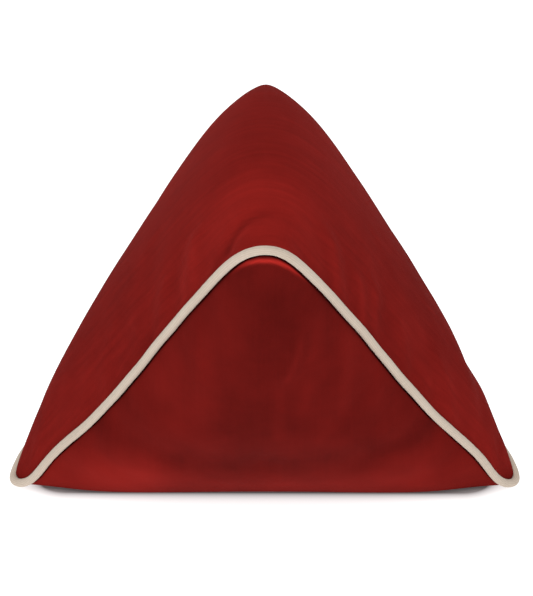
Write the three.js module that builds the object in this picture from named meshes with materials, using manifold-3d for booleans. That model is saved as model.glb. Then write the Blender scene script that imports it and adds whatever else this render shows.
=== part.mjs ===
// Pyramid cushion: a filled velvet tetrahedron with cream piping sewn into its one seam.
//
// Two panels make the cover. The top panel folds softly over the ridge, which runs away from
// the viewer, and the base panel folds softly along the line that the cushion sits on. The two
// meet along one closed seam: left corner, near corner, right corner, far corner. The cushion
// is one filled solid with a groove along that seam, and the piping lies in the groove.
//
// Units are millimetres. X runs from the left corner to the right one, Y away from the viewer,
// Z up. The cushion stands on Z = 0.

import * as THREE from 'three';
import { mergeVertices } from 'three/addons/utils/BufferGeometryUtils.js';
import Module from 'manifold-3d';

// The flat pattern
const EDGE = 450;                      // each of the four sewn edges, as cut
const HALF = EDGE / 2;
const RISE = 1.03 * EDGE / Math.SQRT2; // from the base fold to the ridge, before filling
const RIDGE_ROUND = 0.078;             // rounding of the ridge, as a share of HALF
const FOLD_ROUND = 0.09;               // rounding of the base fold, as a share of HALF
const CORNER_FADE = 5;                 // higher numbers keep the rounding near the corners

// The filling
const WAIST = 0.1;                     // share by which each sewn edge is drawn in halfway
const TOP_SWELL = 36;                  // how far the top panel is pushed out
const BASE_SWELL = 38;                 // how far the base panel is pushed out
const SWELL_POWER = 3.4;               // higher numbers keep the swell full up to the seam
const END_TAPER = 0.6;                 // share of the ridge's swell that is lost at its ends

// The two ends of the ridge: the near corner is blunt, a low arch, and the far one is drawn in
const ARCH = 3.2;
const ARCH_WIDE = 34;                  // half width of the arch
const ARCH_NARROW = 17;                // half width of the flat on top of it
const ARCH_FLAT = 1.4;                 // how much of the arch that flat takes away
const ARCH_REACH = 45;
const FAR_PINCH = 0.2;                 // share by which the far corner is narrower
const FAR_LIFT = 4.5;
const FAR_PEAK = 40;                   // half width of the far end's lift
const FAR_REACH = 90;

// Relief of the cloth: the seam wanders a little, and both panels pucker along it
const WANDER = 0.4;
const WANDER_REACH = 18;
const LOPSIDED = 1.6;                  // the right half of the cover sits a little higher
const PUCKER = 0.9;
const PUCKER_REACH = 24;
const STITCHED = 5;                    // next to the seam the stitches hold the cloth flat

// Waves round the seam: how many there are, their share of the height, and their shift
const PUCKER_WAVES = [[29, 1, 1], [41, 0.7, 2.3]];
const WANDER_WAVES = [[17, 0.6, 0], [29, 0.4, 1]];
const BASE_PHASE = 1.9;                // the two panels pucker out of step

// Soft folds, each a ridge (positive rise) or a trough (negative rise) along a line of the
// flat pattern: across and along at both ends, then its half width and its rise
const FOLDS = [
  // panel, across, along, across, along, width, rise
  ['top', -0.01, -0.74, -0.10, -0.80, 8, -2.0],
  ['top', -0.16, -0.58, -0.23, -0.71, 9, 2.2],
  ['top', -0.28, -0.54, -0.33, -0.62, 8, 1.8],
  ['top', 0.16, -0.60, 0.25, -0.72, 9, 2.2],
  ['top', 0.27, -0.56, 0.34, -0.63, 9, 2.4],
  ['top', 0.32, -0.47, 0.38, -0.56, 8, 2.0],
  ['top', 0.43, -0.42, 0.50, -0.46, 9, 1.8],
  ['top', 0.55, -0.26, 0.68, -0.29, 10, 1.8],
  ['top', 0.62, 0.04, 0.71, -0.08, 10, -2.0],
  ['base', -0.62, -0.33, 0.00, -0.30, 14, -3.0],
  ['base', 0.00, -0.30, 0.66, -0.31, 14, -3.0],
  ['base', -0.25, -0.72, -0.23, -0.58, 9, 2.0],
  ['base', 0.29, -0.68, 0.29, -0.53, 9, 2.0],
  ['base', 0.15, -0.74, 0.08, -0.62, 8, 1.6],
  ['base', -0.57, -0.38, -0.54, -0.36, 8, -2.2],
  ['base', 0.52, -0.42, 0.49, -0.40, 8, -2.2],
  ['base', 0.66, -0.29, 0.62, -0.28, 8, -2.2],
];

// The way it sits
const LEAN_BACK = THREE.MathUtils.degToRad(6);
const SINK = 26;                       // how much of the swollen base fold the floor takes up
const SINK_ROUND = 8;                  // softness of the turn from the floor into the sides
const SINK_TRIM = 1;
const FOLD_SET_BACK = 42;              // how far the weight pushes the middle of the fold back
const SET_BACK_HEIGHT = 80;
const SET_BACK_LENGTH = 206;           // no set-back from here out to the corners
const SET_BACK_POWER = 2.5;
const EAR_TURN = THREE.MathUtils.degToRad(22);   // the corners on the floor turn to the front
const EAR_REACH = 32;

// The piping
const PIPING_RADIUS = 3.35;
const PIPING_OUT = 1.4;                // how far its centre stands outside the seam line
const CORE = 0.8;                      // the piping stands away from the pattern at this scale
const FAR_TUCK = 3;                    // at the far corner it hangs lower, behind the ridge
const TUCK_REACH = 40;
const GAP = 0.3;
const FLOOR_CLEARANCE = PIPING_RADIUS + 0.5;

// Mesh sizes
const MERGE = 1e-3;                    // points nearer than this are one
const PANEL_STEPS = 42;                // cells along one sewn edge
const PIPING_STEPS = 184;
const PIPING_SIDES = 8;

const softAbs = (t, round) => Math.hypot(t, round);

// Point of the flat pattern for p and q, which run from -1 to 1 along the sewn edges. The
// pattern is a rhombus seen as |across| + |along| = 1, with its four corners rounded off.
function patternPoint(p, q) {
  const across = (p - q) / 2;
  const along = (p + q) / 2;
  const reach = Math.max(Math.abs(p), Math.abs(q));
  if (reach === 0) return { across: 0, along: 0 };
  const x = across / reach;
  const y = along / reach;
  const spread = x * x - y * y;
  const lift = 1 - (RIDGE_ROUND ** 2 - FOLD_ROUND ** 2);
  const b = spread * lift + 2 * y * y;
  const c = lift ** 2 - 4 * FOLD_ROUND ** 2;
  const edge = Math.sqrt(c / (b + Math.sqrt(Math.max(b * b - spread * spread * c, 0))));
  const scale = 1 - (1 - edge) * reach ** CORNER_FADE;
  return { across: across * scale, along: along * scale };
}

// Share of the way in from the seam: 0 at the seam, 1 in the middle of a panel
function inFromSeam(across, along) {
  const inside = 1 - softAbs(across, RIDGE_ROUND) - softAbs(along, FOLD_ROUND);
  return THREE.MathUtils.clamp(inside / (1 - RIDGE_ROUND - FOLD_ROUND), 0, 1);
}

// Distance in millimetres from a point of the flat pattern to the line of a fold
function toFold(across, along, acrossA, alongA, acrossB, alongB) {
  const line = new THREE.Line3(
    new THREE.Vector3(acrossA, alongA, 0),
    new THREE.Vector3(acrossB, alongB, 0),
  );
  const point = new THREE.Vector3(across, along, 0);
  return HALF * line.closestPointToPoint(point, true, new THREE.Vector3()).distanceTo(point);
}

function wavesRound(across, along, waves, phase) {
  const turn = Math.atan2(along, across);
  return waves.reduce(
    (sum, [times, share, shift]) => sum + share * Math.sin(times * turn + shift * phase),
    0,
  );
}

// Height of puckers and folds above the smooth panel
function relief(side, across, along) {
  const fromSeam = HALF * inFromSeam(across, along);
  const ripple = wavesRound(across, along, PUCKER_WAVES, side === 'top' ? 0 : BASE_PHASE);
  let height = PUCKER * ripple * Math.exp(-fromSeam / PUCKER_REACH);
  for (const [panel, acrossA, alongA, acrossB, alongB, width, rise] of FOLDS) {
    if (panel !== side) continue;
    const distance = toFold(across, along, acrossA, alongA, acrossB, alongB);
    height += rise * Math.exp(-((distance / width) ** 2));
  }
  return height * (1 - Math.exp(-fromSeam / STITCHED));
}

// The seam's own wandering up and down, which dies away into both panels, and the lopsided
// fill, which is strongest halfway along a sewn edge
function wander(across, along) {
  const size = WANDER * Math.exp(-HALF * inFromSeam(across, along) / WANDER_REACH);
  const lopsided = LOPSIDED * 4 * across * Math.abs(along);
  return size * wavesRound(across, along, WANDER_WAVES, 1) + lopsided;
}

// One point of the filled cover, before it is set down. side is 'top' or 'base'. The waist is
// full halfway along a sewn edge, where across and along are both a half.
function coverPoint(side, across, along) {
  const waist = 1 - WAIST * 16 * across ** 2 * along ** 2;
  const point = new THREE.Vector3(HALF * across * waist, HALF * along * waist, 0);
  const full = 1 - (1 - inFromSeam(across, along)) ** SWELL_POWER;
  const folds = relief(side, across, along);
  if (side === 'top') {
    const slope = RISE / HALF * across / softAbs(across, RIDGE_ROUND);
    const out = (TOP_SWELL * full * (1 - END_TAPER * along ** 2) + folds) / Math.hypot(slope, 1);
    point.z = RISE * (1 - softAbs(across, RIDGE_ROUND)) + wander(across, along);
    return point.add(new THREE.Vector3(slope * out, 0, out));
  }
  const slope = RISE / HALF * along / softAbs(along, FOLD_ROUND);
  const out = (BASE_SWELL * full + folds) / Math.hypot(slope, 1);
  point.z = RISE * softAbs(along, FOLD_ROUND) + wander(across, along);
  return point.add(new THREE.Vector3(0, slope * out, -out));
}

// Blunts the near end of the ridge and draws in the far end
function shapeEnds(point) {
  const end = HALF * patternPoint(1, 1).along;
  const near = Math.exp(-(((point.y + end) / ARCH_REACH) ** 2));
  const far = Math.exp(-(((point.y - end) / FAR_REACH) ** 2));
  const flat = ARCH_FLAT * Math.exp(-((point.x / ARCH_NARROW) ** 2));
  point.z += near * ARCH * (Math.exp(-((point.x / ARCH_WIDE) ** 2)) - flat);
  point.z += far * FAR_LIFT * Math.exp(-((point.x / FAR_PEAK) ** 2));
  point.x *= 1 - FAR_PINCH * far;
  return point;
}

// The two corners on the floor twist about the line from their tip into the cushion, so that
// the piping's turn shows from the front
function turnEar(point) {
  const side = Math.sign(point.x);
  if (side === 0) return point;
  const tip = coverPoint('base', side * patternPoint(1, -1).across, 0);
  const inward = new THREE.Vector3(-side * Math.sqrt(2 / 3), 0, Math.sqrt(1 / 3));
  const fromTip = point.clone().sub(tip);
  const depth = Math.max(fromTip.dot(inward), 0);
  const angle = -side * EAR_TURN * Math.exp(-((depth / EAR_REACH) ** 2));
  return fromTip.applyAxisAngle(inward, angle).add(tip);
}

// Leaning back, the middle of the fold pushed back, and the base pressed flat by the floor
function setDown(point) {
  const turned = turnEar(shapeEnds(point)).applyAxisAngle(new THREE.Vector3(1, 0, 0), -LEAN_BACK);
  const low = Math.exp(-((Math.max(turned.z, 0) / SET_BACK_HEIGHT) ** 2));
  const endwards = (Math.abs(turned.x) / SET_BACK_LENGTH) ** SET_BACK_POWER;
  turned.y += FOLD_SET_BACK * low * Math.max(1 - endwards, 0);
  const over = turned.z - SINK;
  turned.z = Math.max((over + Math.hypot(over, SINK_ROUND)) / 2 - SINK_TRIM, 0);
  return turned;
}

const placed = (side, p, q) => {
  const { across, along } = patternPoint(p, q);
  return setDown(coverPoint(side, across, along));
};

// The closed cover: a square grid for each panel, joined along their common border
function coverGeometry() {
  const positions = [];
  const index = [];
  for (const side of ['top', 'base']) {
    const first = positions.length / 3;
    for (let i = 0; i <= PANEL_STEPS; i++) {
      for (let j = 0; j <= PANEL_STEPS; j++) {
        const p = 2 * i / PANEL_STEPS - 1;
        const q = 2 * j / PANEL_STEPS - 1;
        positions.push(...placed(side, p, q));
      }
    }
    const row = PANEL_STEPS + 1;
    for (let i = 0; i < PANEL_STEPS; i++) {
      for (let j = 0; j < PANEL_STEPS; j++) {
        const a = first + i * row + j;
        const [b, c, d] = [a + row, a + row + 1, a + 1];
        if (side === 'top') index.push(a, b, c, a, c, d);
        else index.push(a, d, b, b, d, c);
      }
    }
  }
  const geometry = new THREE.BufferGeometry();
  geometry.setAttribute('position', new THREE.Float32BufferAttribute(positions, 3));
  geometry.setIndex(index);
  return mergeVertices(geometry, MERGE);
}

// The piping's centre line, once round the seam
function pipingPath() {
  const border = [];
  for (let k = -1; k < 1; k += 2 / PANEL_STEPS) border.push([-1, -k]);
  for (let k = -1; k < 1; k += 2 / PANEL_STEPS) border.push([k, -1]);
  for (let k = -1; k < 1; k += 2 / PANEL_STEPS) border.push([1, k]);
  for (let k = -1; k < 1; k += 2 / PANEL_STEPS) border.push([-k, 1]);
  const points = border.map(([p, q]) => {
    const seam = placed('top', p, q);
    const core = placed('top', p * CORE, q * CORE).add(placed('base', p * CORE, q * CORE));
    const outward = seam.clone().sub(core.multiplyScalar(0.5)).normalize();
    const point = seam.addScaledVector(outward, PIPING_OUT);
    point.z -= FAR_TUCK * Math.exp(-((HALF * (2 - p - q) / TUCK_REACH) ** 2));
    point.z = Math.hypot(point.z, FLOOR_CLEARANCE);
    return point;
  });
  return new THREE.CatmullRomCurve3(points, true);
}

const tube = (path, radius) => new THREE.TubeGeometry(path, PIPING_STEPS, radius, PIPING_SIDES, true);

// Joining and cutting of closed meshes
const manifold = await Module();
manifold.setup();

function toSolid(geometry) {
  const bare = new THREE.BufferGeometry();
  bare.setAttribute('position', geometry.getAttribute('position').clone());
  bare.setIndex(geometry.getIndex().clone());
  const merged = mergeVertices(bare, MERGE);
  return new manifold.Manifold(new manifold.Mesh({
    numProp: 3,
    vertProperties: new Float32Array(merged.getAttribute('position').array),
    triVerts: new Uint32Array(merged.getIndex().array),
  }));
}

function toGeometry(solid) {
  const mesh = solid.getMesh();
  const geometry = new THREE.BufferGeometry();
  geometry.setAttribute('position', new THREE.BufferAttribute(mesh.vertProperties, 3));
  geometry.setIndex(new THREE.BufferAttribute(mesh.triVerts, 1));
  geometry.computeVertexNormals();
  return geometry;
}

function part(name, geometry, colour, roughness) {
  const material = new THREE.MeshStandardMaterial({ color: colour, roughness, metalness: 0 });
  const mesh = new THREE.Mesh(geometry, material);
  mesh.name = name;
  return mesh;
}

const path = pipingPath();
const grooved = toSolid(coverGeometry()).subtract(toSolid(tube(path, PIPING_RADIUS + GAP)));
const cushion = part('cushion', toGeometry(grooved), '#7a1c18', 0.9);
const piping = part('piping', tube(path, PIPING_RADIUS), '#ddcfbc', 0.85);

const pyramidCushion = new THREE.Group();
pyramidCushion.add(cushion, piping);

// The middle of the footprint's box is the origin
const box = new THREE.Box3().setFromObject(pyramidCushion);
const middle = box.getCenter(new THREE.Vector3());
pyramidCushion.position.set(-middle.x, -middle.y, -box.min.z);

export default pyramidCushion;
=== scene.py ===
# %% [markdown]
# # A velvet pyramid cushion with cream piping
#
# The real cushion is two panels of dark red cotton velvet, sewn together along one closed seam
# with a cream piping in it, and then filled hard. It has four corners and six edges, but only
# four of the edges are sewn. The other two are soft folds: the ridge on top, and the line
# that the cushion sits on. This script dresses the imported model of it: the same shape at a
# fine grain, with puckers, folds, an uneven pile, and light and shade painted on the velvet.
#
# The first step is always the same: load the imported model as a fixed frame, and keep its box.

# %% The imported model
import math

import bpy
import numpy as np
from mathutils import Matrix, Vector
from mathutils.kdtree import KDTree


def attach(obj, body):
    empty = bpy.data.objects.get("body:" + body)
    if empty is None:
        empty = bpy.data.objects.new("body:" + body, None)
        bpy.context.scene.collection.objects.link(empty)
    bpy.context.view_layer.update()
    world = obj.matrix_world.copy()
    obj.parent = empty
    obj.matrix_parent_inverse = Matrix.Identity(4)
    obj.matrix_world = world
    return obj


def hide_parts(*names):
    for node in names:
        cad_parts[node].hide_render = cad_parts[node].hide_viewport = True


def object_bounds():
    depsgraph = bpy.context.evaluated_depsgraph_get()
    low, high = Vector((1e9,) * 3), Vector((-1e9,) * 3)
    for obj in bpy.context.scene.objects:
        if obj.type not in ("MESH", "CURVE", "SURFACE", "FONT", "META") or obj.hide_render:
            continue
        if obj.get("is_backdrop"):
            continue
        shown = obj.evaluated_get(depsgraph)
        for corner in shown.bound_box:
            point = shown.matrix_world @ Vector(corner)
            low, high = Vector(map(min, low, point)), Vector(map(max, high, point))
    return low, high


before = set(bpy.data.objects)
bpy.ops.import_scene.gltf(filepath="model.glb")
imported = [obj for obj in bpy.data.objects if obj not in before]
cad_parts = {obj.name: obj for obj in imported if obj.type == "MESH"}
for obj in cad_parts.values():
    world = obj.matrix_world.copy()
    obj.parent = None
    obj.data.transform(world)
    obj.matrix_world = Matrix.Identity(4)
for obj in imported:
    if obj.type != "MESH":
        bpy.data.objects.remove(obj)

cad_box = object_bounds()
print("packed model, lowest corner", tuple(round(v, 4) for v in cad_box[0]))
print("packed model, highest corner", tuple(round(v, 4) for v in cad_box[1]))

# %% [markdown]
# ## The camera
#
# The picture looks down on the cushion at 26 degrees from straight in front, with a long lens,
# so the outline is nearly a triangle. A camera could be aimed with a constraint. Here its
# place is worked out from the angle and the distance, because that needs no helper object.

# %% Camera
ELEVATION = math.radians(26)
SIDE_STEP = math.radians(0.2)          # the camera stands a hair to the right of the middle
DISTANCE = 2.14
AIM = Vector((0.0015, 0.0025, 0.1550))
LENS = 161.2                           # millimetres on Blender's 36 mm sensor


def new_object(name, data):
    """An object that holds a mesh, camera or light, linked into the scene."""
    made = bpy.data.objects.new(name, data)
    bpy.context.scene.collection.objects.link(made)
    return made


to_camera = Vector((
    math.cos(ELEVATION) * math.sin(SIDE_STEP),
    -math.cos(ELEVATION) * math.cos(SIDE_STEP),
    math.sin(ELEVATION),
))
camera_data = bpy.data.cameras.new("camera")
camera_data.lens = LENS
camera = new_object("camera", camera_data)
camera.location = AIM + DISTANCE * to_camera
camera.rotation_euler = to_camera.to_track_quat("Z", "Y").to_euler()
bpy.context.scene.camera = camera
print("camera at", tuple(round(v, 3) for v in camera.location))

# %% [markdown]
# ## The flat pattern
#
# A sewer would draw this cushion as two equal rhombuses. A point of a panel is named by how
# far it lies across, from the left corner at -1 to the right one at +1, and along, from the
# near corner at -1 to the far one at +1. On the seam the two numbers add up to about 1. A
# square grid of p and q, which run along the sewn edges, is squeezed to fit that outline, so
# that the rows of the mesh follow the seam and both panels share their border.

# %% Pattern
MM = 0.001                             # the tables below give small sizes in millimetres
TINY = 1e-9                            # keeps divisions away from zero
EDGE = 0.450                           # each of the four sewn edges, as cut
HALF = EDGE / 2
RISE = 1.03 * EDGE / math.sqrt(2)      # from the base fold up to the ridge, before filling
RIDGE_ROUND = 0.078                    # rounding of the ridge, as a share of HALF
FOLD_ROUND = 0.09                      # rounding of the base fold, as a share of HALF
SQUEEZE_POWER = 5                      # higher numbers squeeze the grid only near its border


def pattern_point(p, q):
    """Across and along for p and q, which run from -1 to 1 along the sewn edges."""
    across = (p - q) / 2
    along = (p + q) / 2
    reach = np.maximum(np.abs(p), np.abs(q))
    divisor = np.where(reach == 0, 1, reach)
    x = np.where(reach == 0, 1, across / divisor)
    y = np.where(reach == 0, 0, along / divisor)
    spread = x * x - y * y
    lift = 1 - (RIDGE_ROUND**2 - FOLD_ROUND**2)
    b = spread * lift + 2 * y * y
    c = lift**2 - 4 * FOLD_ROUND**2
    edge = np.sqrt(c / (b + np.sqrt(np.maximum(b * b - spread * spread * c, 0))))
    scale = 1 - (1 - edge) * reach**SQUEEZE_POWER
    return across * scale, along * scale


def in_from_seam(across, along):
    """Share of the way in from the seam: 0 at the seam, 1 in the middle of a panel."""
    inside = 1 - np.hypot(across, RIDGE_ROUND) - np.hypot(along, FOLD_ROUND)
    return np.clip(inside / (1 - RIDGE_ROUND - FOLD_ROUND), 0, 1)


print("one sewn edge", EDGE, "m, ridge", round(RISE, 3), "m above the base fold before filling")

# %% [markdown]
# ## Folds
#
# A hard filling drives soft creases away from the corners and the seam. They could be sculpted
# by hand with a brush. Here each fold is one row of a table, a soft ridge or trough along a
# line of the flat pattern, so that it can be moved or widened by changing one number.

# %% Folds
# panel, across and along at one end, across and along at the other, half width and rise in mm
FOLDS = [
    ("top", -0.01, -0.74, -0.10, -0.80, 8, -2.0),
    ("top", -0.16, -0.58, -0.23, -0.71, 9, 2.2),
    ("top", -0.28, -0.54, -0.33, -0.62, 8, 1.8),
    ("top", 0.16, -0.60, 0.25, -0.72, 9, 2.2),
    ("top", 0.27, -0.56, 0.34, -0.63, 9, 2.4),
    ("top", 0.32, -0.47, 0.38, -0.56, 8, 2.0),
    ("top", 0.43, -0.42, 0.50, -0.46, 9, 1.8),
    ("top", 0.55, -0.26, 0.68, -0.29, 10, 1.8),
    ("top", 0.62, 0.04, 0.71, -0.08, 10, -2.0),
    ("base", -0.62, -0.33, 0.00, -0.30, 14, -3.0),
    ("base", 0.00, -0.30, 0.66, -0.31, 14, -3.0),
    ("base", -0.25, -0.72, -0.23, -0.58, 9, 2.0),
    ("base", 0.29, -0.68, 0.29, -0.53, 9, 2.0),
    ("base", 0.15, -0.74, 0.08, -0.62, 8, 1.6),
    ("base", -0.57, -0.38, -0.54, -0.36, 8, -2.2),
    ("base", 0.52, -0.42, 0.49, -0.40, 8, -2.2),
    ("base", 0.66, -0.29, 0.62, -0.28, 8, -2.2),
]


def to_line(across, along, start, end):
    """Distance in metres, over the flat panel, to the line between two points of the pattern."""
    step = np.subtract(end, start)
    share = ((across - start[0]) * step[0] + (along - start[1]) * step[1]) / (step @ step)
    share = np.clip(share, 0, 1)
    return HALF * np.hypot(across - start[0] - share * step[0], along - start[1] - share * step[1])


def soft_rows(rows, side, across, along):
    """Sum of a table's rows for one panel, each at full strength on its own line."""
    total = np.zeros_like(across)
    for panel, *ends, width, strength in rows:
        if panel == side:
            distance = to_line(across, along, ends[:2], ends[2:])
            total += strength * np.exp(-((distance / (MM * width)) ** 2))
    return total


print(len(FOLDS), "folds, from", min(row[-1] for row in FOLDS), "to",
      max(row[-1] for row in FOLDS), "mm")

# %% [markdown]
# ## Puckers
#
# Where thread holds velvet back, the cloth beside it gathers into small puckers. Noise would
# do for them, but it doesn't know where the seam is. Here they are waves that run round the
# seam and die away into the panel. Everything stays still on the seam itself, where the
# stitches are, but the seam as a whole wanders a little up and down, as a hand-fed one does.

# %% Puckers
PUCKER = 0.0009
PUCKER_REACH = 0.024
FINE_PUCKER = 0.00028
FINE_REACH = 0.009
STITCHED = 0.005                       # next to the seam the stitches hold the cloth flat
WANDER = 0.0004                        # the seam itself wanders up and down
WANDER_REACH = 0.018
LOPSIDED = 0.0016                      # the right half of the cover sits a little higher

# waves in one turn round the panel, share, shift
PUCKER_WAVES = [(29, 1, 1), (41, 0.7, 2.3)]
FINE_WAVES = [(113, 1, 1), (167, 0.8, 3.1)]
WANDER_WAVES = [(17, 0.6, 0), (29, 0.4, 1)]
BASE_PHASE = 1.9                       # the two panels pucker out of step


def waves_round(across, along, waves, phase):
    """Sum of the waves at points of a panel, by their direction from its middle."""
    turn = np.arctan2(along, across)
    return sum(share * np.sin(times * turn + shift * phase) for times, share, shift in waves)


def relief(side, across, along):
    """Height of the puckers and folds above the smooth panel."""
    from_seam = HALF * in_from_seam(across, along)
    phase = 0 if side == "top" else BASE_PHASE
    ripple = waves_round(across, along, PUCKER_WAVES, phase)
    gathers = waves_round(across, along, FINE_WAVES, phase)
    height = PUCKER * ripple * np.exp(-from_seam / PUCKER_REACH)
    height += FINE_PUCKER * gathers * np.exp(-from_seam / FINE_REACH)
    height += MM * soft_rows(FOLDS, side, across, along)
    return height * (1 - np.exp(-from_seam / STITCHED))


def wander(across, along):
    """How far the seam, and less of the cloth beside it, strays up or down."""
    size = WANDER * np.exp(-HALF * in_from_seam(across, along) / WANDER_REACH)
    # halfway along a sewn edge across and along are both a half, so the product is 1 there
    lopsided = LOPSIDED * 4 * across * np.abs(along)
    return size * waves_round(across, along, WANDER_WAVES, 1) + lopsided


print("puckers up to", PUCKER / MM, "mm, reaching", PUCKER_REACH / MM, "mm in from the seam")

# %% [markdown]
# ## Filling the cover
#
# Folding a rhombus over its ridge gives a roof, and two such roofs, one turned by a quarter
# and upside down, close into a pyramid. The filling then pushes each panel out along its
# normal, hard in the middle and not at all at the seam, and draws the sewn edges in.

# %% Filling
WAIST = 0.1                            # share by which each sewn edge is drawn in halfway
TOP_SWELL = 0.036
BASE_SWELL = 0.038
SWELL_POWER = 3.4                      # higher numbers keep the swell full up to the seam
END_TAPER = 0.6                        # share of the ridge's swell that is lost at its ends


def cover_point(side, across, along, folds=0.0):
    """Places of the filled cover before it is set down, as an array of X, Y and Z."""
    waist = 1 - WAIST * 16 * across**2 * along**2
    x = HALF * across * waist
    y = HALF * along * waist
    full = 1 - (1 - in_from_seam(across, along)) ** SWELL_POWER
    if side == "top":
        slope = RISE / HALF * across / np.hypot(across, RIDGE_ROUND)
        out = (TOP_SWELL * full * (1 - END_TAPER * along**2) + folds) / np.hypot(slope, 1)
        z = RISE * (1 - np.hypot(across, RIDGE_ROUND)) + wander(across, along)
        return np.stack([x + slope * out, y, z + out], -1)
    slope = RISE / HALF * along / np.hypot(along, FOLD_ROUND)
    out = (BASE_SWELL * full + folds) / np.hypot(slope, 1)
    z = RISE * np.hypot(along, FOLD_ROUND) + wander(across, along)
    return np.stack([x, y + slope * out, z - out], -1)


crown = cover_point("top", np.array(0.0), np.array(0.0))
belly = cover_point("base", np.array(0.0), np.array(0.0))
print("filled cover,", round(float(crown[2] - belly[2]) / MM), "mm through its middle")

# %% [markdown]
# ## Setting it down
#
# The near end of the ridge is blunt, a low arch, and the far end is drawn in. The two corners
# on the floor twist forward, so that the piping's turn shows from the front. Lattices or
# proportional editing would do this by hand. Functions on the points do it here, because the
# cover and the piping's route then go through exactly the same changes.

# %% Ends and corners
X_AXIS = np.array([1.0, 0, 0])
ARCH = 0.0032
ARCH_WIDE = 0.034                      # half width of the arch
ARCH_NARROW = 0.017                    # half width of the flat on top of it
ARCH_FLAT = 1.4                        # how much of the arch that flat takes away
ARCH_REACH = 0.045
FAR_PINCH = 0.2                        # share by which the far corner is narrower
FAR_LIFT = 0.0045
FAR_PEAK = 0.040                       # half width of the far end's lift
FAR_REACH = 0.090
EAR_TURN = math.radians(22)
EAR_REACH = 0.032


def shape_ends(points):
    """Blunts the near end of the ridge and draws in the far end."""
    x, y, z = np.moveaxis(points, -1, 0)
    end = HALF * pattern_point(np.array(1.0), np.array(1.0))[1]
    near = np.exp(-(((y + end) / ARCH_REACH) ** 2))
    far = np.exp(-(((y - end) / FAR_REACH) ** 2))
    arch = np.exp(-((x / ARCH_WIDE) ** 2)) - ARCH_FLAT * np.exp(-((x / ARCH_NARROW) ** 2))
    z = z + near * ARCH * arch + far * FAR_LIFT * np.exp(-((x / FAR_PEAK) ** 2))
    return np.stack([x * (1 - FAR_PINCH * far), y, z], -1)


def turned(vectors, axis, angle):
    """Vectors turned about a unit axis, by one angle or by an angle for each."""
    cos = np.cos(angle)[..., None]
    sin = np.sin(angle)[..., None]
    on_axis = (vectors @ axis)[..., None] * axis
    return vectors * cos + np.cross(axis, vectors) * sin + on_axis * (1 - cos)


def turn_ears(points):
    """Twists the two corners on the floor towards the front."""
    result = points.copy()
    corner = pattern_point(np.array(1.0), np.array(-1.0))[0]
    for side in (-1, 1):
        tip = cover_point("base", side * corner, np.array(0.0))
        # from this corner to the middle of a regular tetrahedron
        inward = np.array([-side * math.sqrt(2 / 3), 0, math.sqrt(1 / 3)])
        from_tip = points - tip
        depth = np.maximum(from_tip @ inward, 0)
        angle = -side * EAR_TURN * np.exp(-((depth / EAR_REACH) ** 2))
        on_side = np.sign(points[..., 0]) == side
        result[on_side] = (turned(from_tip, inward, angle) + tip)[on_side]
    return result


# %% [markdown]
# The cushion leans back a little on its base fold, and its own weight presses that flat. A
# plain cut at floor level would leave a sharp rim. A rounded limit on the height leaves the
# soft edge of a filled thing that rests on a table, and the cloth that had to go is set back.

# %% Sitting on the floor
LEAN_BACK = math.radians(6)
SINK = 0.026                           # how much of the swollen base fold the floor takes up
SINK_ROUND = 0.008
SINK_TRIM = 0.001
FOLD_SET_BACK = 0.042                  # how far the weight pushes the middle of the fold back
SET_BACK_HEIGHT = 0.080
SET_BACK_LENGTH = 0.206
SET_BACK_POWER = 2.5


def set_down(points):
    """Leans the cover back and presses its base flat on the floor."""
    lean = np.full(points.shape[:-1], -LEAN_BACK)
    leaning = turned(turn_ears(shape_ends(points)), X_AXIS, lean)
    x, y, z = np.moveaxis(leaning, -1, 0)
    low = np.exp(-((np.maximum(z, 0) / SET_BACK_HEIGHT) ** 2))
    endwards = (np.abs(x) / SET_BACK_LENGTH) ** SET_BACK_POWER
    y = y + FOLD_SET_BACK * low * np.maximum(1 - endwards, 0)
    over = z - SINK
    z = np.maximum((over + np.hypot(over, SINK_ROUND)) / 2 - SINK_TRIM, 0)
    return np.stack([x, y, z], -1)


def placed(side, p, q):
    """Places of the cover's points at rest, for p and q of the pattern's grid."""
    across, along = pattern_point(p, q)
    return set_down(cover_point(side, across, along, relief(side, across, along)))


near_tip = placed("top", np.array([-1.0]), np.array([-1.0]))[0]
print("near corner at", np.round(near_tip, 4), "before the piece is centred")

# %% [markdown]
# ## The piping's route
#
# Piping is a cord in a strip of cloth whose raw edges are caught in the seam. Its centre
# stands a little outside the seam line, in the direction that splits the two panels. A bezier
# curve with a bevel could draw it. Here the route is worked out from the seam itself, at even
# steps, so that the tube follows each small wander of the stitches.

# %% Piping route
PIPING_RADIUS = 0.00335
PIPING_OUT = 0.0014
FLOOR_CLEARANCE = PIPING_RADIUS + 0.0005
CORE = 0.8                             # the piping stands away from the pattern at this scale
FAR_TUCK = 0.003                       # at the far corner it hangs lower, behind the ridge
TUCK_REACH = 0.040
ROUTE_STEPS = 1200


def seam_border(count):
    """p and q of points once round the seam, from the left corner over the near one."""
    k = 2 * np.arange(count) / count - 1
    one = np.ones(count)
    p = np.concatenate([-one, k, one, -k])
    q = np.concatenate([-k, -one, k, one])
    return p, q


def evenly_spaced(points, *others):
    """A closed run of points, and fields along it, read off again at even steps."""
    gone = np.linalg.norm(np.roll(points, -1, 0) - points, axis=-1)
    mileage = np.concatenate([[0], np.cumsum(gone)])
    even = mileage[-1] * np.arange(ROUTE_STEPS) / ROUTE_STEPS
    fields = []
    for field in (points, *others):
        closed = np.vstack([field, field[:1]])
        fields.append(np.stack([np.interp(even, mileage, column) for column in closed.T], -1))
    return *fields, mileage[-1]


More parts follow.
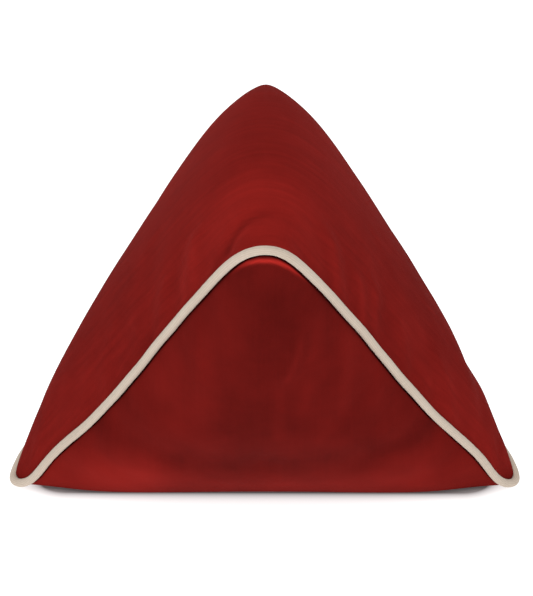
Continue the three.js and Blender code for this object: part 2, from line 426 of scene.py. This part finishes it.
def piping_route():
    """Centre points of the piping, the directions away from the seam, and its length."""
    p, q = seam_border(ROUTE_STEPS // 2)
    seam = placed("top", p, q)
    core = (placed("top", p * CORE, q * CORE) + placed("base", p * CORE, q * CORE)) / 2
    outward = seam - core
    outward = outward / np.linalg.norm(outward, axis=-1, keepdims=True)
    points = seam + outward * PIPING_OUT
    points[:, 2] -= FAR_TUCK * np.exp(-((HALF * (2 - p - q) / TUCK_REACH) ** 2))
    points[:, 2] = np.hypot(points[:, 2], FLOOR_CLEARANCE)
    return evenly_spaced(points, outward)


def headings():
    """The piping's direction at each step of its route."""
    ahead = np.roll(route, -1, 0) - np.roll(route, 1, 0)
    return ahead / np.linalg.norm(ahead, axis=-1, keepdims=True)


route, route_out, route_length = piping_route()
print("piping", round(route_length, 3), "m round the seam")

# %% [markdown]
# ## The velvet cover
#
# The cover is one closed mesh: a grid for each panel, and the two share their border. A cube
# with subdivision would be less work, but its rows would run anywhere. Here they follow the
# seam and crowd towards it, where the puckers are smallest.

# %% Grids of the cover
COVER_CELLS = 200
CLOTH_CELLS = 72
CROWD = 1.1                            # radians: how much the rows crowd towards the seam


def grid_line(cells):
    """Even steps from -1 to 1, drawn together towards both ends."""
    return np.sin(np.linspace(-1, 1, cells + 1) * CROWD) / math.sin(CROWD)


def grid_points(cells):
    """Both panels as arrays of points, over a square grid of the pattern."""
    line = grid_line(cells)
    p, q = np.meshgrid(line, line, indexing="ij")
    return {side: placed(side, p, q) for side in ("top", "base")}


def grid_faces(index):
    """Corners of each cell of a grid of vertex numbers, in turn."""
    cell = [index[:-1, :-1], index[1:, :-1], index[1:, 1:], index[:-1, 1:]]
    return np.stack(cell, -1).reshape(-1, 4)


def cover_faces(cells):
    """Four-sided faces of both panels, and where each grid point is in the vertex list."""
    row = cells + 1
    top = np.arange(row * row).reshape(row, row)
    base = top.copy()
    base[1:-1, 1:-1] = row * row + np.arange((row - 2) ** 2).reshape(row - 2, row - 2)
    downward = grid_faces(base)[:, [0, 3, 2, 1]]
    faces = np.concatenate([grid_faces(top), downward])
    return faces, top, base


def cover_object(name, points, cells):
    """A closed mesh object from the two panels' points."""
    faces, _, _ = cover_faces(cells)
    inner = points["base"][1:-1, 1:-1].reshape(-1, 3)
    vertices = np.concatenate([points["top"].reshape(-1, 3), inner])
    mesh = bpy.data.meshes.new(name)
    mesh.from_pydata(vertices.tolist(), [], faces.tolist())
    mesh.shade_smooth()
    return new_object(name, mesh)


print("cover grid of", COVER_CELLS, "cells along each sewn edge")

# %% [markdown]
# Cloth can be simulated as well: the cover is held at the seam and on the floor, given a
# little more length than it has room for, and blown up, so that the spare length finds its
# own folds. The trial runs on a coarse grid, because twenty frames of the fine one would take
# many minutes.

# %% Cloth trial
SPARE_CLOTH = 0.03                     # share of length that the panels have to spare
PRESSURE = 4
SIM_FRAMES = 20
ON_FLOOR = 0.002                       # points lower than this are held


def held_points(cloth_object, border):
    """Numbers of the vertices on the seam and on the floor."""
    seam = set(border[0]) | set(border[-1]) | set(border[:, 0]) | set(border[:, -1])
    low = {vertex.index for vertex in cloth_object.data.vertices if vertex.co.z < ON_FLOOR}
    return [int(number) for number in seam | low]


def add_cloth(made):
    """Gives an object the Cloth modifier of a blown-up velvet cover."""
    cloth = made.modifiers.new("cloth", "CLOTH")
    settings = cloth.settings
    settings.quality = 6
    settings.mass = 0.3
    settings.tension_stiffness = settings.compression_stiffness = 15
    settings.shear_stiffness = 5
    settings.bending_stiffness = 0.3
    settings.use_pressure = True
    settings.uniform_pressure_force = PRESSURE
    settings.effector_weights.gravity = 0
    settings.vertex_group_mass = "held"
    settings.shrink_min = -SPARE_CLOTH
    cloth.collision_settings.use_collision = False
    cloth.point_cache.frame_start = 1
    cloth.point_cache.frame_end = SIM_FRAMES


def cloth_moves():
    """How far the trial moves each point of the coarse grid, and where the points were."""
    points = grid_points(CLOTH_CELLS)
    trial = cover_object("cloth_trial", points, CLOTH_CELLS)
    _, top, base = cover_faces(CLOTH_CELLS)
    trial.vertex_groups.new(name="held").add(held_points(trial, top), 1.0, "ADD")
    add_cloth(trial)
    for number in range(1, SIM_FRAMES + 1):
        bpy.context.scene.frame_set(number)
    evaluated = trial.evaluated_get(bpy.context.evaluated_depsgraph_get())
    after = np.array([vertex.co for vertex in evaluated.data.vertices])
    bpy.data.objects.remove(trial)
    bpy.context.scene.frame_set(1)
    return {"top": after[top] - points["top"], "base": after[base] - points["base"]}, points


# %% [markdown]
# The trial also rounds off the corners and the ridge, which the real cover keeps. So only the
# small folds are taken from it: what is left when each panel's moves are compared with a
# softened copy of themselves. They fade out at the corners and towards the floor.

# %% Folds found by the trial
FOLD_LIMIT = 0.0008                    # no point moves further than this
SMOOTH_PASSES = 30
FINE_PASSES = 24                       # rounds off the steps of the coarse grid
STILL_BELOW = 0.030                    # the folds fade out towards the floor from this height


def softened(field, passes):
    """A field over a grid: each point keeps half of itself and takes an eighth of each neighbour."""
    field = field.copy()
    for _ in range(passes):
        around = field[:-2, 1:-1] + field[2:, 1:-1] + field[1:-1, :-2] + field[1:-1, 2:]
        field[1:-1, 1:-1] = 0.5 * field[1:-1, 1:-1] + 0.125 * around
    return field


def kept_folds():
    """The small folds of the trial at each point of the coarse grid."""
    moves, points = cloth_moves()
    line = grid_line(CLOTH_CELLS)
    across, along = pattern_point(*np.meshgrid(line, line, indexing="ij"))
    corners_still = 1 - np.maximum(np.abs(across), np.abs(along)) ** 4
    kept = {}
    for side, moved in moves.items():
        folds = moved - softened(moved, SMOOTH_PASSES)
        size = np.linalg.norm(folds, axis=-1, keepdims=True)
        floor_still = np.clip(points[side][..., 2] / STILL_BELOW, 0, 1) ** 2
        folds *= (corners_still * floor_still)[..., None]
        kept[side] = folds * np.minimum(1, FOLD_LIMIT / np.maximum(size, TINY))
        print(side, "panel: cloth moved up to", round(float(np.abs(moved).max()) / MM, 1),
              "mm, folds up to", round(float(size.max()) / MM, 1), "mm")
    return kept


def at_fine_grid(field):
    """A field over the coarse grid, read off at the fine grid and smoothed a little."""
    coarse = grid_line(CLOTH_CELLS)
    fine = grid_line(COVER_CELLS)
    rows = np.stack([np.stack([np.interp(fine, coarse, line) for line in layer], 0)
                     for layer in np.moveaxis(field, -1, 0)], -1)
    both = np.stack([np.stack([np.interp(fine, coarse, line) for line in layer.T], 1)
                     for layer in np.moveaxis(rows, -1, 0)], -1)
    return softened(both, FINE_PASSES)


# %% [markdown]
# The piping lies in a groove between the panels. The groove is not cut: every point of the
# cover that comes nearer to the piping's centre than its radius is pushed back to just
# outside it, so that the velvet wraps a little way round the cord, as it does when sewn.

# %% Cover
GAPS = {"top": 0.0003, "base": 0.0014}  # the base panel shows a dark slit under the piping
STEP_SLACK = 0.001                     # the nearest step of the route may be this much off


def grooved(points, gap):
    """Pushes a panel's points out of the piping's way."""
    tree = KDTree(len(route))
    for index, centre in enumerate(route):
        tree.insert(centre, index)
    tree.balance()
    reach = PIPING_RADIUS + gap
    ahead = headings()
    result = points.reshape(-1, 3).copy()
    for index, point in enumerate(result):
        _, nearest, distance = tree.find(point)
        if distance < reach + STEP_SLACK:
            away = point - route[nearest]
            away -= ahead[nearest] * (away @ ahead[nearest])
            length = np.linalg.norm(away)
            if length < reach:
                result[index] = point + away * (reach / max(length, TINY) - 1)
    return result.reshape(points.shape)


cover_points = grid_points(COVER_CELLS)
for side, field in kept_folds().items():
    cover_points[side] = cover_points[side] + at_fine_grid(field)
for side, gap in GAPS.items():
    cover_points[side] = grooved(cover_points[side], gap)
cover = cover_object("velvet_cover", cover_points, COVER_CELLS)
print("cover,", len(cover.data.polygons), "faces")

# %% [markdown]
# ## The piping
#
# The tube follows the route with a ring of points at each step. Real piping is not a perfect
# tube: the cord inside is a little lumpy and the cloth strip wrinkles on the inside of a bend.

# %% Piping
PIPING_SIDES = 20
TURN = 2 * math.pi
LUMP = 0.020                           # share by which the cord is thicker or thinner
LUMP_PITCH = 0.047
LUMP_DRIFT = 61                        # radians in a metre: the lumps come and go
WRINKLE = 0.010
WRINKLE_PITCH = 0.0113
WRINKLE_SLANT = 1.3                    # radians: a wrinkle runs askew round the tube


def lumps(distance, angle):
    """Thickness of the tube, as a share, along its length and round it."""
    slow = LUMP * np.sin(TURN * distance / LUMP_PITCH) * np.sin(distance * LUMP_DRIFT + 1)
    skewed = TURN * distance / WRINKLE_PITCH + WRINKLE_SLANT * np.sin(angle)
    return 1 + slow + WRINKLE * np.sin(skewed)


def piping_object():
    """The piping as a closed ring of faces."""
    ahead = headings()
    sideways = np.cross(ahead, route_out)
    sideways /= np.linalg.norm(sideways, axis=-1, keepdims=True)
    out = np.cross(sideways, ahead)
    angle = TURN * np.arange(PIPING_SIDES) / PIPING_SIDES
    distance = route_length * np.arange(ROUTE_STEPS) / ROUTE_STEPS
    radius = PIPING_RADIUS * lumps(distance[:, None], angle[None, :])
    rings = (route[:, None, :]
             + (radius * np.cos(angle))[..., None] * out[:, None, :]
             + (radius * np.sin(angle))[..., None] * sideways[:, None, :])
    index = np.arange(ROUTE_STEPS * PIPING_SIDES).reshape(ROUTE_STEPS, PIPING_SIDES)
    after = np.roll(index, -1, 0)
    faces = np.stack([index, np.roll(index, -1, 1), np.roll(after, -1, 1), after], -1)
    mesh = bpy.data.meshes.new("cream_piping")
    mesh.from_pydata(rings.reshape(-1, 3).tolist(), [], faces.reshape(-1, 4).tolist())
    mesh.shade_smooth()
    wound = mesh.attributes.new("wound", "FLOAT_VECTOR", "POINT")
    values = np.zeros((ROUTE_STEPS, PIPING_SIDES, 3))
    values[..., 0] = distance[:, None]
    values[..., 1] = PIPING_RADIUS * angle[None, :]
    wound.data.foreach_set("vector", values.ravel())
    return new_object("cream_piping", mesh)


piping = piping_object()
print("piping,", len(piping.data.polygons), "faces")

# %% [markdown]
# Both meshes are made round the middle of the pattern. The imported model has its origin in
# the middle of its footprint, so they move there together.

# %% Into the frame
places = np.concatenate([[v.co for v in made.data.vertices] for made in (cover, piping)])
low, high = places.min(0), places.max(0)
middle = (cad_box[0] + cad_box[1]) / 2
shift = Vector((middle.x - (low[0] + high[0]) / 2, middle.y - (low[1] + high[1]) / 2, -low[2]))
for made in (cover, piping):
    for vertex in made.data.vertices:
        vertex.co += shift
    made.data.update()
print("both moved by", tuple(round(v, 4) for v in shift))

# %% [markdown]
# ## What the shaders read
#
# A pile lies along the cloth, not along X, Y or Z. So each point of the cover carries its
# place in the flat pattern as an attribute, and the shader stretches its noise over that.
# The second attribute is lightness painted onto the pile. Most of it is painted light and shade:
# a lighter ridge and lower roll, a darker middle on the near panel, dark creases, and painted
# highlights on the crests of folds. A few small marks are uneven pile. An image could be painted
# for it, but a table is easier to change: each broad mark is one row, placed like the folds.

# %% Painted light and shade on the pile
# panel, across and along at one end, across and along at the other, half width in mm, lightness;
# most rows are painted light and shade, a few are uneven pile
PILE_AND_LIGHT_MARKS = [
    ("base", 0.01, -0.72, 0.02, -0.44, 34, -0.09),
    ("base", 0.00, -0.885, 0.03, -0.885, 10, 0.06),
    ("base", -0.20, -0.66, -0.19, -0.52, 9, 0.10),
    ("base", -0.13, -0.76, -0.11, -0.70, 10, 0.08),
    ("base", 0.30, -0.62, 0.28, -0.48, 8, 0.10),
    ("base", 0.19, -0.72, 0.16, -0.64, 5, 0.07),
    ("base", 0.12, -0.68, 0.08, -0.60, 3, 0.10),
    ("base", 0.15, -0.56, 0.13, -0.50, 5, 0.07),
    ("base", 0.055, -0.56, 0.05, -0.42, 4, 0.07),
    ("base", -0.30, -0.50, -0.24, -0.42, 26, 0.07),
    ("base", 0.30, -0.42, 0.36, -0.38, 22, -0.07),
    ("base", -0.44, -0.48, -0.33, -0.57, 12, 0.08),
    ("base", 0.42, -0.50, 0.31, -0.62, 12, 0.10),
    ("base", -0.62, -0.33, -0.30, -0.295, 8, -0.10),
    ("base", -0.30, -0.295, 0.40, -0.295, 14, -0.06),
    ("base", 0.40, -0.295, 0.66, -0.33, 8, -0.10),
    ("base", -0.60, -0.18, 0.55, -0.18, 16, 0.16),
    ("base", -0.80, -0.12, -0.45, -0.20, 24, 0.33),
    ("base", 0.80, -0.12, 0.45, -0.20, 22, 0.08),
    ("top", 0.00, -0.86, 0.00, -0.64, 34, 0.24),
    ("top", 0.00, -0.60, 0.00, 0.60, 55, 0.14),
    ("top", -0.002, -0.731, -0.094, -0.787, 4, -0.22),
    ("top", -0.094, -0.787, -0.150, -0.775, 4, -0.14),
    ("top", -0.04, -0.79, -0.12, -0.80, 4, 0.10),
    ("top", -0.17, -0.62, -0.21, -0.72, 5, 0.12),
    ("top", -0.22, -0.62, -0.25, -0.68, 4, 0.09),
    ("top", 0.16, -0.62, 0.23, -0.72, 4, 0.12),
    ("top", 0.27, -0.56, 0.33, -0.62, 4, 0.14),
    ("top", 0.32, -0.50, 0.36, -0.56, 4, 0.12),
    ("top", 0.45, -0.36, 0.75, -0.18, 34, 0.16),
    ("top", -0.55, -0.36, -0.85, -0.12, 30, 0.12),
]
# most of these marks are painted light and shade, a few are uneven pile
print(len(PILE_AND_LIGHT_MARKS), "brush marks")

# %% [markdown]
# Two more things follow the seam of the base panel, and both are painted light. Right under
# the piping a painted shade makes the pile nearly black, as no light reaches it there. A little
# further in, under the near corner, a narrow lip of painted highlight stands for pile that
# catches the light round the seam allowance.

# %% Painted shade and highlight along the seam
# the lip is a painted highlight, and the dark under the piping is painted shade
LIP_HIGHLIGHT = 1.6
LIP_LENGTH = 0.10
LIP_MIDDLE = 0.02                      # where the lip is centred, across the pattern
LIP_IN = 0.0050                        # from the seam to the middle of the lip
LIP_WIDTH = 0.0012
SEAM_SHADE = 0.5
SEAM_DEPTH = 0.0040


def seam_shade_and_highlight(across, along):
    """Painted shade under the piping and a painted highlight on the lip, along the base panel's
    seam.
    """
    from_seam = HALF * in_from_seam(across, along)
    near_corner = (along < 0) * np.exp(-(((across - LIP_MIDDLE) / LIP_LENGTH) ** 4))
    lip = near_corner * np.exp(-(((from_seam - LIP_IN) / LIP_WIDTH) ** 2))
    return LIP_HIGHLIGHT * lip - SEAM_SHADE * np.exp(-((from_seam / SEAM_DEPTH) ** 2))


def pile_and_painted_light(side, across, along):
    """Painted light and shade on the pile, a few marks of uneven pile, and the painted seam shade
    and lip.
    """
    pile_and_shade = soft_rows(PILE_AND_LIGHT_MARKS, side, across, along)
    return pile_and_shade if side == "top" else pile_and_shade + seam_shade_and_highlight(across, along)


# %% Attributes of the cover
def name_points(made, cells):
    """Stores on the cover's points its place in the flat pattern and the lightness of painted light,
    shade and pile.
    """
    line = grid_line(cells)
    p, q = np.meshgrid(line, line, indexing="ij")
    across, along = pattern_point(p, q)
    flat, pile_and_shade = [], []
    for number, (side, part) in enumerate((("top", np.s_[:, :]), ("base", np.s_[1:-1, 1:-1]))):
        columns = (across[part], along[part], np.full(across[part].shape, float(number)))
        flat.append(np.stack(columns, -1).reshape(-1, 3))
        pile_and_shade.append(pile_and_painted_light(side, across, along)[part].ravel())
    attribute = made.data.attributes.new("flat", "FLOAT_VECTOR", "POINT")
    attribute.data.foreach_set("vector", np.concatenate(flat).ravel())
    attribute = made.data.attributes.new("pile_and_painted_light", "FLOAT", "POINT")
    attribute.data.foreach_set("value", np.concatenate(pile_and_shade))


name_points(cover, COVER_CELLS)
print("attributes", [attribute.name for attribute in cover.data.attributes][-2:])

# %% [markdown]
# ## Writing shaders as sums
#
# A node tree is quickest to read as a formula. The class below wraps one socket, and each
# operator adds the Math node that it stands for. Every other node comes from its one method,
# which takes the node's type, its settings, and what goes into its sockets.

# %% Shader formulas
class Wire:
    """A socket of a material's node tree."""

    def __init__(self, tree, made=None, output=0):
        self.tree = tree
        self.made = made
        self.output = output

    def node(self, kind, settings=None, sockets=None, output=0):
        """A new node in this wire's tree, as a wire from one of its outputs."""
        made = self.tree.nodes.new(kind)
        for name, value in (settings or {}).items():
            setattr(made, name, value)
        for name, value in (sockets or {}).items():
            if isinstance(value, Wire):
                self.tree.links.new(value.made.outputs[value.output], made.inputs[name])
            else:
                made.inputs[name].default_value = value
        return Wire(self.tree, made, output)

    def at(self, output):
        """Another output of the same node."""
        return Wire(self.tree, self.made, output)

    def math(self, operation, *values):
        return self.node("ShaderNodeMath", {"operation": operation}, dict(enumerate(values)))

    def __add__(self, other):
        return self.math("ADD", self, other)

    __radd__ = __add__

    def __sub__(self, other):
        return self.math("SUBTRACT", self, other)

    def __rsub__(self, other):
        return self.math("SUBTRACT", other, self)

    def __mul__(self, other):
        return self.math("MULTIPLY", self, other)

    __rmul__ = __mul__

    def __pow__(self, other):
        return self.math("POWER", self, other)

    def sine(self):
        return self.math("SINE", self)

    def held(self):
        """The value, kept between 0 and 1."""
        return self.node("ShaderNodeClamp", {}, {"Value": self})

    def noise(self, scale, detail=2.0, roughness=0.5):
        """Noise between 0 and 1, with this wire as its place."""
        values = {"Vector": self, "Scale": scale, "Detail": detail, "Roughness": roughness}
        return self.node("ShaderNodeTexNoise", {}, values)


def new_finish(name):
    """A material and a wire to start its formulas from."""
    material = bpy.data.materials.new(name)
    material.use_nodes = True
    material.node_tree.nodes.clear()
    return material, Wire(material.node_tree)


def mixed(factor, first, second):
    """Two colours mixed by a factor."""
    values = {0: factor, 6: first, 7: second}
    return factor.node("ShaderNodeMix", {"data_type": "RGBA"}, values, output=2)


def combined(x, y, z):
    """Three values as one place."""
    first = next(value for value in (x, y, z) if isinstance(value, Wire))
    return first.node("ShaderNodeCombineXYZ", {}, {"X": x, "Y": y, "Z": z})


# %% [markdown]
# ## Velvet
#
# Cotton velvet is a dense short pile. Looked at from above it swallows light; at its edges
# the tips catch it, which is what sheen is for. Its colour is never even: the pile shows fine
# streaks down the cloth, soft clouds and smaller blotches where it was pressed, and on the
# ridge thin arcs where the cloth was bent. All of it is the same dye, so only the lightness of
# one red varies, and plain pile uses less than half of that range. The rest is for the lip's
# painted highlight.

# %% What varies in the velvet
PILE_PITCH = 2600                      # tufts in a metre
ARC_BEND = 0.9                         # how steeply the arcs on the ridge fall to both sides
ARC_ROUND = 0.02

velvet, start = new_finish("red_velvet")
flat = start.node("ShaderNodeAttribute", {"attribute_name": "flat"}, output="Vector")
xyz = flat.node("ShaderNodeSeparateXYZ", {}, {"Vector": flat})
across, along, panel = xyz.at("X"), xyz.at("Y"), xyz.at("Z")
# painted light and shade on the pile, with a few marks of uneven pile
pile_and_light = start.node("ShaderNodeAttribute", {"attribute_name": "pile_and_painted_light"}, output="Fac")
place = start.node("ShaderNodeTexCoord", output="Object")

clouds = place.noise(9.0, 4.0, 0.6)
blotches = place.noise(38.0, 3.0, 0.6)
streaks = combined(across * 90, along * 5, panel * 7).noise(1.0, 3.0, 0.6)
bend = along - ARC_BEND * (across ** 2 + ARC_ROUND) ** 0.5
arcs = combined(across * 9, bend * 40, panel * 5 + 3).noise(1.0, 4.0, 0.7)
tufts = place.noise(PILE_PITCH, 2.0, 0.6)
print("velvet varies through", len(velvet.node_tree.nodes), "nodes so far")

# %% Velvet
VELVET_DEEP = (0.020, 0.0012, 0.0011, 1)
VELVET_LIGHT = (0.504, 0.0250, 0.0190, 1)
PLAIN_SHARE = 0.484                    # plain pile uses this share of that range, a lip uses all
SHEEN_TINT = (1.0, 0.05, 0.03, 1)
TUFT_HEIGHT = 0.00025
CLOUD_HEIGHT = 0.0006
STREAK_HEIGHT = 0.00006

on_top = 1 - panel
# The base panel is painted a little darker than the top, as painted shade on its overhanging face.
lightness = (PLAIN_SHARE * (
    0.54 - 0.12 * panel
    + (streaks - 0.5) * clouds * 0.15
    + (arcs - 0.5) * (0.15 + blotches * 0.6) * on_top
    + (clouds - 0.5) * 0.36
    + (blotches - 0.5) * 0.22
    + (tufts - 0.5) * 0.22
    + pile_and_light
)).held()
pile = tufts * TUFT_HEIGHT + clouds * CLOUD_HEIGHT + streaks * STREAK_HEIGHT
bump = pile.node("ShaderNodeBump", {}, {"Height": pile, "Strength": 0.6, "Distance": 1.0})
surface = start.node("ShaderNodeBsdfPrincipled", {}, {
    "Base Color": mixed(lightness, VELVET_DEEP, VELVET_LIGHT),
    "Roughness": 0.86 + 0.1 * clouds,
    "Specular IOR Level": 0.02,
    "Sheen Weight": 0.05,
    "Sheen Roughness": 0.45,
    "Sheen Tint": SHEEN_TINT,
    "Normal": bump,
})
start.node("ShaderNodeOutputMaterial", {}, {"Surface": surface})
cover.data.materials.append(velvet)
print(velvet.name, "has", len(velvet.node_tree.nodes), "nodes")

# %% [markdown]
# ## Piping cloth
#
# The strip is a plain cream cotton. Wrapped over the cord, its yarns run along the tube and
# round it, and both show up close as fine ribs. The tube's own attribute says how far along
# and how far round each point lies, so the yarns follow every bend.

# %% Cream cotton
CREAM_LIGHT = (0.57, 0.485, 0.402, 1)
CREAM_SHADE = (0.44, 0.350, 0.270, 1)
RIB_PITCH = TURN * PIPING_RADIUS / 14  # fourteen ribs round the tube
YARN_PITCH = 0.0009
WEAVE_HEIGHT = 0.00005
SLUB_HEIGHT = 0.0002

cotton, start = new_finish("cream_cotton")
wound = start.node("ShaderNodeAttribute", {"attribute_name": "wound"}, output="Vector")
xyz = wound.node("ShaderNodeSeparateXYZ", {}, {"Vector": wound})
place = start.node("ShaderNodeTexCoord", output="Object")
slubs = place.noise(320.0, 3.0, 0.6)
stains = place.noise(24.0, 2.0, 0.5)
ribs = (xyz.at("Y") * (TURN / RIB_PITCH) + slubs * 1.5).sine()
yarns = (xyz.at("X") * (TURN / YARN_PITCH) + slubs * 2.5).sine()
weave = ribs * 0.75 + yarns * 0.25
whiteness = (0.62 + weave * 0.36 + (slubs - 0.5) * 0.5 + (stains - 0.5) * 0.5).held()
height = weave * WEAVE_HEIGHT + slubs * SLUB_HEIGHT
bump = height.node("ShaderNodeBump", {}, {"Height": height, "Strength": 0.7, "Distance": 1.0})
surface = start.node("ShaderNodeBsdfPrincipled", {}, {
    "Base Color": mixed(whiteness, CREAM_SHADE, CREAM_LIGHT),
    "Roughness": 0.78 + 0.12 * slubs,
    "Specular IOR Level": 0.25,
    "Sheen Weight": 0.10,
    "Sheen Roughness": 0.5,
    "Normal": bump,
})
start.node("ShaderNodeOutputMaterial", {}, {"Surface": surface})
piping.data.materials.append(cotton)
print(cotton.name, "has", len(cotton.node_tree.nodes), "nodes")

# %% [markdown]
# ## Riding the frame
#
# Nothing on this cushion moves, so both pieces ride on the one body, and each stands for the
# node of the imported model that it dresses.

# %% Riding the frame
for made, node, slot in ((cover, "cushion", "velvet"), (piping, "piping", "piping_cloth")):
    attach(made, "root")
    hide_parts(node)
print(cover.name, "and", piping.name, "ride on root")

# %% [markdown]
# ## Floor and light
#
# In the picture the cushion stands on plain white, with only a narrow dark strip where it
# touches. A plain white floor under soft light would show a wide grey shadow round it. So the
# floor glows a little by itself, like a light table, which washes that shadow out, and the
# glow fades close to the patch that the cushion covers, which leaves the strip as a painted
# contact shadow.

# %% Floor
FLOOR_SIZE = 16
FLOOR_DROP = 0.0004
GLOW = 0.92
TOUCH_LENGTH = 0.160                   # half length and half depth of the patch that it covers
TOUCH_DEPTH = 0.050
TOUCH_MIDDLE = 0.010
TOUCH_TAPER = 0.7                      # the patch gets shallower towards both ends
SHADE_REACH = 0.0068                   # how far out of that patch the dark strip fades

floor_mesh = bpy.data.meshes.new("floor")
edge = FLOOR_SIZE / 2
floor_corners = [(-edge, -edge), (edge, -edge), (edge, edge), (-edge, edge)]
floor_mesh.from_pydata([(x, y, -FLOOR_DROP) for x, y in floor_corners], [], [(0, 1, 2, 3)])
floor = new_object("floor", floor_mesh)
white, start = new_finish("white_floor")
spot = start.node("ShaderNodeTexCoord", output="Object")
xyz = spot.node("ShaderNodeSeparateXYZ", {}, {"Vector": spot})
sideways = (xyz.at("X") ** 2) ** 0.5 - TOUCH_LENGTH
beside = sideways.math("MAXIMUM", sideways, 0.0)
taper = xyz.at("X") ** 2 * TOUCH_TAPER
behind = xyz.at("Y") - TOUCH_MIDDLE + taper
away = (beside ** 2 + behind ** 2) ** 0.5 - TOUCH_DEPTH + taper
# painted contact shadow: the floor's glow fades out close to the cushion's patch
shade = away.math("EXPONENT", away * (-1 / SHADE_REACH)).held()
paper = spot.noise(3.0)
surface = start.node("ShaderNodeBsdfPrincipled", {}, {
    "Base Color": mixed(paper, (0.55, 0.55, 0.55, 1), (0.57, 0.57, 0.57, 1)),
    "Roughness": 0.9,
    "Specular IOR Level": 0.0,
    "Emission Color": mixed(shade, (1, 1, 1, 1), (0.05, 0.05, 0.05, 1)),
    "Emission Strength": GLOW,
})
start.node("ShaderNodeOutputMaterial", {}, {"Surface": surface})
floor_mesh.materials.append(white)
floor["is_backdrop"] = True
print("floor", FLOOR_SIZE, "m wide")

# %% [markdown]
# The light is soft and comes from everywhere, a little more from the front left. One large
# soft box hangs in front and above, and a white surround fills the rest. The plain view
# transform keeps the red as it is mixed.

# %% Light
LIT_PLACE = Vector((0, 0, 0.15))       # the box faces the middle of the cushion
SOFT_BOX_PLACE = Vector((-0.25, -1.35, 2.35))
SOFT_BOX_SIZE = 1.8
SOFT_BOX_POWER = 38
SURROUND = 0.55

box_data = bpy.data.lights.new("soft_box", "AREA")
box_data.size = SOFT_BOX_SIZE
box_data.energy = SOFT_BOX_POWER
soft_box = new_object("soft_box", box_data)
soft_box.location = SOFT_BOX_PLACE
soft_box.rotation_euler = (SOFT_BOX_PLACE - LIT_PLACE).to_track_quat("Z", "Y").to_euler()

world = bpy.data.worlds.new("surround")
world.use_nodes = True
world.node_tree.nodes["Background"].inputs["Color"].default_value = (1, 1, 1, 1)
world.node_tree.nodes["Background"].inputs["Strength"].default_value = SURROUND
bpy.context.scene.world = world
bpy.context.scene.view_settings.view_transform = "Standard"
print("soft box of", SOFT_BOX_POWER, "W, surround at", SURROUND)

# %% [markdown]
# ## Sizes, and the end
#
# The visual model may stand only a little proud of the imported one, so both boxes are kept.

# %% Sizes
visual_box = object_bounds()
sizes = {"cad": [list(v) for v in cad_box], "visual": [list(v) for v in visual_box]}
for name, (lowest, highest) in sizes.items():
    print(name, "size in mm", [round((b - a) / MM, 1) for a, b in zip(lowest, highest)])
